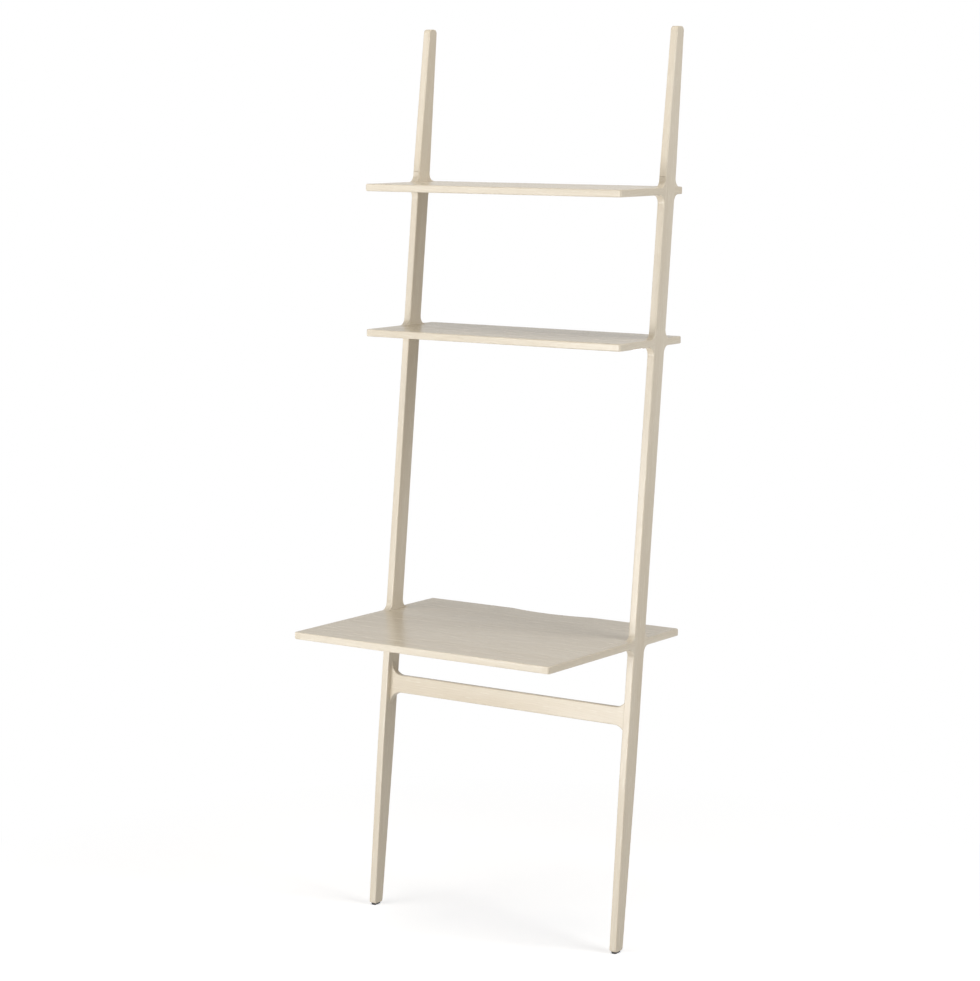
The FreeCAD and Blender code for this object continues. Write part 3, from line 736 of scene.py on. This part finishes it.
class LADDERDESK_OT_uprights(bpy.types.Operator):
    """Make both uprights: each side frame less its arms, with a mortise for every tenon"""
    bl_idname = "ladder_desk.uprights"
    bl_label = "Uprights"

    def execute(self, context):
        desk = context.scene.ladder_desk
        gap = desk.fittings.clearance
        ash = wood_material("ash_upright", desk.ash, lean_direction(desk.frame), (3, 1, 2))
        for side in SIDES:
            upright = new_object(f"ash_{side}_upright", whole_side_frame(desk.frame, side))
            for board, end in product(BOARDS.values(), ENDS.values()):
                combine(upright, arm_space(desk.frame, side, board, end), "DIFFERENCE")
                combine(upright, tenon(desk.frame, side, board, end), "DIFFERENCE")
            combine(upright, tongue_mortises(gap), "DIFFERENCE")
            foot, stem = BOX[f"{side}_foot_glide"]
            combine(upright, bored_hole((foot + stem) / 2, desk.fittings.stem_diameter / 2 + gap,
                                        foot.z, stem.z + gap), "DIFFERENCE")
            smooth(upright)
            dress(upright, f"{side}_upright", ash)
        return {"FINISHED"}


class LADDERDESK_OT_arms(bpy.types.Operator):
    """Make the twelve arms, whose flared roots are housed and tenoned in the uprights"""
    bl_idname = "ladder_desk.arms"
    bl_label = "Arms"

    def execute(self, context):
        desk = context.scene.ladder_desk
        ash = wood_material("ash_arm", desk.ash, Vector((0, 1, 0)), (1, 4, 2))
        whole = {side: whole_side_frame(desk.frame, side) for side in SIDES}
        for side, level, end in product(SIDES, BOARDS, ENDS):
            node = f"{side}_{level}_{end}_arm"
            arm = new_object(f"ash_{node}", whole[side].copy())
            space = arm_space(desk.frame, side, BOARDS[level], ENDS[end])
            combine(arm, space, "INTERSECT")
            combine(arm, tenon(desk.frame, side, BOARDS[level], ENDS[end]), "UNION")
            combine(arm, tongue_mortises(desk.fittings.clearance), "DIFFERENCE")
            smooth(arm)
            dress(arm, node, ash)
        for solid in whole.values():
            solid.free()
        return {"FINISHED"}


# ---------------------------------------------------------------- boards and stretcher

def board_outline(sizes, board):
    """A board seen from above; the desk top's back edge has the cable recess."""
    low, high = BOX[board]
    points = [Vector((low.x, low.y)), Vector((high.x, low.y)), Vector((high.x, high.y))]
    if board == BOARDS["desk"]:
        points += recess_points(sizes, high.y)
    return points + [Vector((low.x, high.y))]


def recess_points(sizes, back):
    """The cable recess from right to left: a shallow arc between two soft ends."""
    half, depth, blend = sizes.recess_length / 2, sizes.recess_depth, sizes.recess_blend
    radius = (half ** 2 + depth ** 2) / (2 * depth)
    centre = Vector((0, back - depth + radius))
    reach = math.sqrt((radius + blend) ** 2 - (radius + blend - depth) ** 2)
    turn = math.asin(reach / (radius + blend))
    end = Vector((reach, back - blend))
    start = centre + (end - centre).normalized() * radius
    right = arc_points(end, Vector((reach, back)), turn, KINK_STEPS)
    middle = arc_points(centre, start, -2 * turn, RECESS_STEPS)
    left = [Vector((-point.x, point.y)) for point in reversed(right)]
    return right + middle[1:-1] + left


def bracket_middle(side):
    """The middle of one wall bracket."""
    return sum(BOX[f"{side}_wall_bracket"], Vector()) / 2


def screw_holes(sizes):
    """The spaces of the bracket screws' shanks in the lower shelf."""
    low, high = BOX["bracket_screws"]
    radius = sizes.shank_diameter / 2 + sizes.clearance
    holes = []
    for side, way in product(SIDES, (-1, 1)):
        place = bracket_middle(side).x + way * sizes.screw_spacing / 2
        centre = Vector((place, (low.y + high.y) / 2))
        holes.append(bored_hole(centre, radius, low.z, high.z + sizes.clearance))
    return holes


class LADDERDESK_OT_boards(bpy.types.Operator):
    """Make the desk top and the two shelves, with eased front and back edges"""
    bl_idname = "ladder_desk.boards"
    bl_label = "Boards"

    def execute(self, context):
        desk = context.scene.ladder_desk
        sizes = desk.boards
        for index, board in enumerate(BOARDS.values()):
            low, high = BOX[board]
            solid = solid_from_outline(board_outline(sizes, board), Z, low.z, high.z)
            round_edges(solid, sizes.edge_radius, EDGE_STEPS, lambda edge: is_sharp(edge)
                        and not (on_plane(edge, X, low.x) or on_plane(edge, X, high.x)))
            piece = new_object(f"ash_{board}", solid)
            combine(piece, tongue_mortises(desk.fittings.clearance), "DIFFERENCE")
            if board == BOARDS["lower_shelf"]:
                for hole in screw_holes(desk.fittings):
                    combine(piece, hole, "DIFFERENCE")
            smooth(piece)
            ash = wood_material(f"ash_{board}_grain", desk.ash, Vector((1, 0, 0)),
                                (2.0 + 3.0 * index, 1.0 + index, 2.0 * index))
            dress(piece, board, ash)
        return {"FINISHED"}


def stretcher_solid(sizes, half_length):
    """The stretcher upright at the origin; its ends are trimmed once its edges are eased."""
    over = half_length + 2 * sizes.edge_radius
    lip = half_length - sizes.flare_lip
    rise = sizes.stretcher_height / 2
    flare = rise + sizes.stretcher_flare
    quarter = [Corner(Vector((lip, rise)), sizes.stretcher_flare),
               Corner(Vector((lip, flare))), Corner(Vector((over, flare)))]

    def turned(corners, across, up):
        """The corners of one quarter of the outline, made those of another."""
        return [Corner(Vector((corner.place.x * across, corner.place.y * up)), corner.radius)
                for corner in corners]

    corners = (turned(quarter, 1, 1) + turned(quarter[::-1], 1, -1)
               + turned(quarter, -1, -1) + turned(quarter[::-1], -1, 1))
    half = sizes.stretcher_thickness / 2
    solid = solid_from_outline(rounded_outline(corners), Y, -half, half)
    round_edges(solid, sizes.edge_radius, EDGE_STEPS, lambda edge: is_sharp(edge) and (
        on_plane(edge, Y, -half) or on_plane(edge, Y, half))
        and not on_plane(edge, X, over) and not on_plane(edge, X, -over))
    for sign in (-1, 1):
        trim(solid, Vector((sign * half_length, 0, 0)), Vector((sign, 0, 0)))
    return solid


class LADDERDESK_OT_stretcher(bpy.types.Operator):
    """Make the stretcher that leans with the legs, its ends flared onto them"""
    bl_idname = "ladder_desk.stretcher"
    bl_label = "Stretcher"

    def execute(self, context):
        desk = context.scene.ladder_desk
        sizes = desk.boards
        high = BOX["stretcher"][1]
        solid = stretcher_solid(sizes, high.x)
        lean = lean_direction(desk.frame)
        tilt = Matrix.Rotation(-math.atan2(lean.y, lean.z), 4, "X")
        place = Vector((0, upright_axis(desk.frame, sizes.stretcher_level),
                        sizes.stretcher_level))
        bmesh.ops.transform(solid, matrix=Matrix.Translation(place) @ tilt, verts=solid.verts)
        piece = new_object("ash_stretcher", solid)
        combine(piece, tongue_mortises(desk.fittings.clearance), "DIFFERENCE")
        smooth(piece)
        ash = wood_material("ash_stretcher_grain", desk.ash, Vector((1, 0, 0)), (9, 2, 5))
        dress(piece, "stretcher", ash)
        return {"FINISHED"}


# ---------------------------------------------------------------- fittings

def nodes_vector(tree, *parts):
    """A vector from its parts."""
    return add_node(tree, "ShaderNodeCombineXYZ", dict(enumerate(parts))).outputs[0]


def nodes_moved(tree, geometry, *parts, turn=(0.0, 0.0, 0.0)):
    """Geometry turned about the origin and then moved."""
    return add_node(tree, "GeometryNodeTransform", {
        "Geometry": geometry, "Translation": nodes_vector(tree, *parts),
        "Rotation": turn}).outputs["Geometry"]


def nodes_boolean(tree, operation, first, second):
    """Two solids joined, or the second cut from the first."""
    node = add_node(tree, "GeometryNodeMeshBoolean", operation=operation, solver="EXACT")
    if operation == "DIFFERENCE":
        tree.links.new(first, node.inputs["Mesh 1"])
        tree.links.new(second, node.inputs["Mesh 2"])
    else:
        for part in (first, second):
            tree.links.new(part, node.inputs["Mesh 2"])
    return node.outputs["Mesh"]


def screw_head(tree, given):
    """A pan head under the origin: a crown that falls to its rim, and a cross recess."""
    radius = times(tree, given["Head diameter"], 0.5)
    blank = add_node(tree, "GeometryNodeMeshCylinder", {
        "Vertices": 32, "Fill Segments": 6, "Radius": radius,
        "Depth": given["Head height"]}, fill_type="TRIANGLE_FAN").outputs["Mesh"]
    place = add_node(tree, "GeometryNodeInputPosition").outputs[0]
    reach = length(tree, scaled(tree, place, (1.0, 1.0, 0.0)))
    fall = math_node(tree, "POWER", math_node(tree, "DIVIDE", reach, radius), CROWN_POWER)
    kept = math_node(tree, "SUBTRACT", 1.0, times(tree, fall, given["Crown fall"]))
    crown = times(tree, given["Head height"], kept)
    parts = add_node(tree, "ShaderNodeSeparateXYZ", {0: place}).outputs
    in_crown = math_node(tree, "LESS_THAN", parts["Z"], 0.0)
    level = times(tree, in_crown, times(tree, crown, -1.0))
    head = add_node(tree, "GeometryNodeSetPosition", {
        "Geometry": blank,
        "Position": nodes_vector(tree, parts["X"], parts["Y"], level)}).outputs["Geometry"]

    bar = add_node(tree, "GeometryNodeMeshCube", {"Size": nodes_vector(
        tree, given["Recess span"], given["Recess width"],
        times(tree, given["Recess depth"], 2.0))}).outputs["Mesh"]
    bottom = times(tree, given["Head height"], -1.0)
    slots = [nodes_moved(tree, bar, 0.0, 0.0, bottom, turn=(0, 0, turn))
             for turn in (0.0, math.pi / 2)]
    return nodes_boolean(tree, "DIFFERENCE", head, nodes_boolean(tree, "UNION", *slots))


def screw_shank(tree, given):
    """A shank above the origin that narrows to its point, begun inside the head."""
    inside = times(tree, given["Head height"], SHANK_START)
    whole = math_node(tree, "ADD", given["Shank length"], inside)
    blank = add_node(tree, "GeometryNodeMeshCylinder", {
        "Vertices": 16, "Side Segments": 8, "Depth": whole,
        "Radius": times(tree, given["Shank diameter"], 0.5)}).outputs["Mesh"]
    middle = times(tree, math_node(tree, "SUBTRACT", whole, inside), 0.5)
    middle = math_node(tree, "SUBTRACT", middle, times(tree, inside, 0.5))
    shank = nodes_moved(tree, blank, 0.0, 0.0, middle)
    parts = add_node(tree, "ShaderNodeSeparateXYZ", {
        0: add_node(tree, "GeometryNodeInputPosition").outputs[0]}).outputs
    point = math_node(tree, "SUBTRACT", given["Shank length"], given["Point length"])
    width = remap(tree, parts["Z"], point, given["Shank length"], 1.0, POINT_WIDTH)
    return add_node(tree, "GeometryNodeSetPosition", {
        "Geometry": shank, "Position": nodes_vector(
            tree, times(tree, parts["X"], width),
            times(tree, parts["Y"], width), parts["Z"])}).outputs["Geometry"]


def nodes_pair(tree, gap):
    """Two points on X, as far apart as the gap and centred on the origin."""
    return add_node(tree, "GeometryNodeMeshLine", {
        "Count": 2, "Offset": nodes_vector(tree, gap, 0.0, 0.0), "Start Location":
        nodes_vector(tree, times(tree, gap, -0.5), 0.0, 0.0)}).outputs["Mesh"]


def screw_tree(sizes, steel):
    """Node tree of the bracket screws: a pair at each bracket, every one turned its own way."""
    tree = bpy.data.node_groups.new("bracket_screws", "GeometryNodeTree")
    for name, value in sizes.items():
        socket = tree.interface.new_socket(name, in_out="INPUT", socket_type="NodeSocketFloat")
        socket.default_value = value
    tree.interface.new_socket("Geometry", in_out="OUTPUT", socket_type="NodeSocketGeometry")
    given = tree.nodes.new("NodeGroupInput").outputs

    screw = nodes_boolean(tree, "UNION", screw_head(tree, given), screw_shank(tree, given))
    pairs = add_node(tree, "GeometryNodeInstanceOnPoints", {
        "Points": nodes_pair(tree, given["Bracket spacing"]),
        "Instance": nodes_pair(tree, given["Screw spacing"])}).outputs["Instances"]
    spots = add_node(tree, "GeometryNodeRealizeInstances", {"Geometry": pairs}).outputs[0]
    turn = add_node(tree, "FunctionNodeRandomValue", {
        "Max": math.pi / 2, "Seed": SCREW_SEED}, data_type="FLOAT")
    turn = next(socket for socket in turn.outputs if socket.enabled)
    screws = add_node(tree, "GeometryNodeInstanceOnPoints", {
        "Points": spots, "Instance": screw,
        "Rotation": nodes_vector(tree, 0.0, 0.0, turn)}).outputs["Instances"]
    placed = nodes_moved(tree, screws, 0.0, given["Setback"], given["Level"])
    whole = add_node(tree, "GeometryNodeRealizeInstances", {"Geometry": placed}).outputs[0]
    painted = add_node(tree, "GeometryNodeSetMaterial", {
        "Geometry": whole, "Material": steel}).outputs[0]
    add_node(tree, "NodeGroupOutput", {"Geometry": painted})
    return tree


class LADDERDESK_OT_bracket_screws(bpy.types.Operator):
    """Make the pan-head screws that hold the wall brackets to the lower shelf"""
    bl_idname = "ladder_desk.bracket_screws"
    bl_label = "Bracket screws"

    def execute(self, context):
        fittings = context.scene.ladder_desk.fittings
        steel = zinc_material("zinc_plated_screws", fittings.zinc)
        low, high = BOX["bracket_screws"]
        left, right = (bracket_middle(side).x for side in SIDES)
        sizes = {
            "Head diameter": fittings.head_diameter,
            "Head height": fittings.head_height,
            "Crown fall": fittings.crown_fall,
            "Recess span": fittings.recess_span,
            "Recess width": fittings.recess_width,
            "Recess depth": fittings.recess_depth,
            "Shank diameter": fittings.shank_diameter,
            "Shank length": high.z - low.z - fittings.head_height,
            "Point length": fittings.point_length,
            "Screw spacing": fittings.screw_spacing,
            "Bracket spacing": abs(right - left),
            "Setback": (low.y + high.y) / 2,
            "Level": low.z + fittings.head_height,
        }
        tree = screw_tree(sizes, steel)
        screws = new_object("steel_bracket_screws", bmesh.new())
        modifier = screws.modifiers.new("bracket_screws", "NODES")
        modifier.node_group = tree
        for item in tree.interface.items_tree:
            if item.name in sizes:
                modifier[item.identifier] = sizes[item.name]
        settle(screws)
        reach = max((vert.co.x for vert in screws.data.vertices), default=0.0)
        if abs(reach - high.x) > SCREW_FIT:
            raise RuntimeError("the bracket screws came out without their heads")
        smooth(screws)
        dress(screws, "bracket_screws", steel)
        return {"FINISHED"}


class LADDERDESK_OT_wall_brackets(bpy.types.Operator):
    """Finish the two wall brackets in zinc-plated steel"""
    bl_idname = "ladder_desk.wall_brackets"
    bl_label = "Wall brackets"

    def execute(self, context):
        zinc = context.scene.ladder_desk.fittings.zinc
        steel = zinc_material("zinc_plated_brackets", zinc)
        for side in SIDES:
            repaint(f"{side}_wall_bracket", steel)
        return {"FINISHED"}


class LADDERDESK_OT_foot_glides(bpy.types.Operator):
    """Finish the two foot glides in black nylon"""
    bl_idname = "ladder_desk.foot_glides"
    bl_label = "Foot glides"

    def execute(self, context):
        nylon = nylon_material("black_nylon", context.scene.ladder_desk.fittings.nylon)
        for side in SIDES:
            repaint(f"{side}_foot_glide", nylon)
        return {"FINISHED"}


class LADDERDESK_OT_loose_tongues(bpy.types.Operator):
    """Finish the beech tongues inside the joints"""
    bl_idname = "ladder_desk.loose_tongues"
    bl_label = "Loose tongues"

    def execute(self, context):
        beech = wood_material("beech_tongue", context.scene.ladder_desk.beech,
                              Vector((1, 0, 0)), (4, 7, 1))
        repaint("loose_tongues", beech)
        return {"FINISHED"}


# ---------------------------------------------------------------- stage

def seen_directly(tree, reflected):
    """1 for a ray from the camera, a share for a reflected or a clear one, 0 for the rest."""
    path = add_node(tree, "ShaderNodeLightPath").outputs
    sent_on = math_node(tree, "MAXIMUM", path["Is Glossy Ray"], path["Is Transmission Ray"])
    return math_node(tree, "MAXIMUM", path["Is Camera Ray"], times(tree, sent_on, reflected))


def floor_material(studio):
    """A pale floor: seen directly it is white, but for the desk's soft shadow near its feet."""
    material, tree = new_material("studio_floor")
    away = remap(tree, length(tree, object_place(tree)), studio.shadow_reach / 2,
                 studio.shadow_reach)
    seen = seen_directly(tree, studio.reflected_white)
    matt = add_node(tree, "ShaderNodeBsdfDiffuse", {"Color": FLOOR_PAINT})
    white = add_node(tree, "ShaderNodeEmission", {
        "Color": mixed_colour(tree, away, (*studio.floor_glow, 1.0), WHITE),
        "Strength": seen})
    lit = add_node(tree, "ShaderNodeMixShader", {
        "Fac": times(tree, seen, away), 1: matt.outputs[0]})
    both = add_node(tree, "ShaderNodeAddShader", {0: lit.outputs[0], 1: white.outputs[0]})
    add_node(tree, "ShaderNodeOutputMaterial", {"Surface": both.outputs[0]})
    return material


def studio_world(studio):
    """Even light from all round, which is plain white where it is seen directly."""
    world = bpy.data.worlds.new("studio_world")
    world.use_nodes = True
    tree = world.node_tree
    tree.nodes.clear()
    light = add_node(tree, "ShaderNodeBackground", {
        "Color": (*studio.world_colour, 1.0), "Strength": studio.world_strength})
    white = add_node(tree, "ShaderNodeBackground", {"Color": WHITE, "Strength": 1.0})
    mix = add_node(tree, "ShaderNodeMixShader", {
        "Fac": seen_directly(tree, studio.reflected_white),
        1: light.outputs[0], 2: white.outputs[0]})
    add_node(tree, "ShaderNodeOutputWorld", {"Surface": mix.outputs[0]})
    return world


def add_lamp(name, place, width, height, power, colour=WHITE[:3]):
    """A soft lamp that faces the middle of the desk."""
    data = bpy.data.lights.new(name, "AREA")
    data.shape = "RECTANGLE"
    data.size = width
    data.size_y = height
    data.energy = power
    data.color = colour
    lamp = bpy.data.objects.new(name, data)
    lamp.location = place
    middle = Vector((0, 0, OVERALL_HEIGHT / 2))
    lamp.rotation_euler = (middle - lamp.location).to_track_quat("-Z", "Y").to_euler()
    bpy.context.scene.collection.objects.link(lamp)


class LADDERDESK_OT_stage(bpy.types.Operator):
    """Set up the pale floor, the soft lamps and the camera"""
    bl_idname = "ladder_desk.stage"
    bl_label = "Stage"

    def execute(self, context):
        studio = context.scene.ladder_desk.studio
        scene = context.scene
        scene.world = studio_world(studio)
        scene.view_settings.view_transform = "Standard"

        solid = bmesh.new()
        bmesh.ops.create_grid(solid, x_segments=1, y_segments=1, size=FLOOR_REACH)
        floor = new_object("studio_floor", solid)
        floor.data.materials.append(floor_material(studio))

        add_lamp("key_lamp", place=(-1.0, -4.9, 0.78), width=3.6, height=1.5,
                 power=studio.key_power)
        add_lamp("left_lamp", place=(-3.4, -3.6, 2.6), width=2.5, height=2.5,
                 power=studio.left_power)
        add_lamp("right_lamp", place=(4.2, 0.3, 2.8), width=2.5, height=2.5,
                 power=studio.right_power)
        add_lamp("top_lamp", place=(0.0, -0.5, 4.6), width=3.0, height=3.0,
                 power=studio.top_power, colour=studio.top_colour)

        data = bpy.data.cameras.new("camera")
        data.lens = studio.focal_length
        camera = bpy.data.objects.new("camera", data)
        camera.location = studio.camera_place
        camera.rotation_euler = (math.pi / 2 - studio.camera_pitch, 0, studio.camera_yaw)
        scene.collection.objects.link(camera)
        scene.camera = camera
        return {"FINISHED"}


# ---------------------------------------------------------------- panel and registration

OPERATORS = (
    LADDERDESK_OT_uprights,
    LADDERDESK_OT_arms,
    LADDERDESK_OT_boards,
    LADDERDESK_OT_stretcher,
    LADDERDESK_OT_foot_glides,
    LADDERDESK_OT_wall_brackets,
    LADDERDESK_OT_bracket_screws,
    LADDERDESK_OT_loose_tongues,
    LADDERDESK_OT_stage,
)


class LADDERDESK_PT_panel(bpy.types.Panel):
    """Sizes, colours and the steps that make the desk"""
    bl_idname = "LADDERDESK_PT_panel"
    bl_label = "Ladder desk"
    bl_space_type = "VIEW_3D"
    bl_region_type = "UI"
    bl_category = "Ladder desk"

    def draw(self, context):
        desk = context.scene.ladder_desk
        for group in (desk.frame, desk.boards, desk.ash, desk.beech, desk.fittings,
                      desk.studio):
            box = self.layout.box()
            for name in group.bl_rna.properties.keys():
                if name not in ("rna_type", "name"):
                    box.prop(group, name)
        for operator in OPERATORS:
            self.layout.operator(operator.bl_idname)


CLASSES = (
    LADDERDESK_PG_frame,
    LADDERDESK_PG_boards,
    LADDERDESK_PG_ash,
    LADDERDESK_PG_beech,
    LADDERDESK_PG_fittings,
    LADDERDESK_PG_studio,
    LADDERDESK_PG_desk,
    *OPERATORS,
    LADDERDESK_PT_panel,
)


def register():
    for item in CLASSES:
        bpy.utils.register_class(item)
    bpy.types.Scene.ladder_desk = PointerProperty(type=LADDERDESK_PG_desk)


def unregister():
    del bpy.types.Scene.ladder_desk
    for item in reversed(CLASSES):
        bpy.utils.unregister_class(item)


def main():
    """Make every piece and the stage."""
    register()
    bpy.ops.ladder_desk.uprights()
    bpy.ops.ladder_desk.arms()
    bpy.ops.ladder_desk.boards()
    bpy.ops.ladder_desk.stretcher()
    bpy.ops.ladder_desk.foot_glides()
    bpy.ops.ladder_desk.wall_brackets()
    bpy.ops.ladder_desk.bracket_screws()
    bpy.ops.ladder_desk.loose_tongues()
    bpy.ops.ladder_desk.stage()


if __name__ == "__main__":
    main()
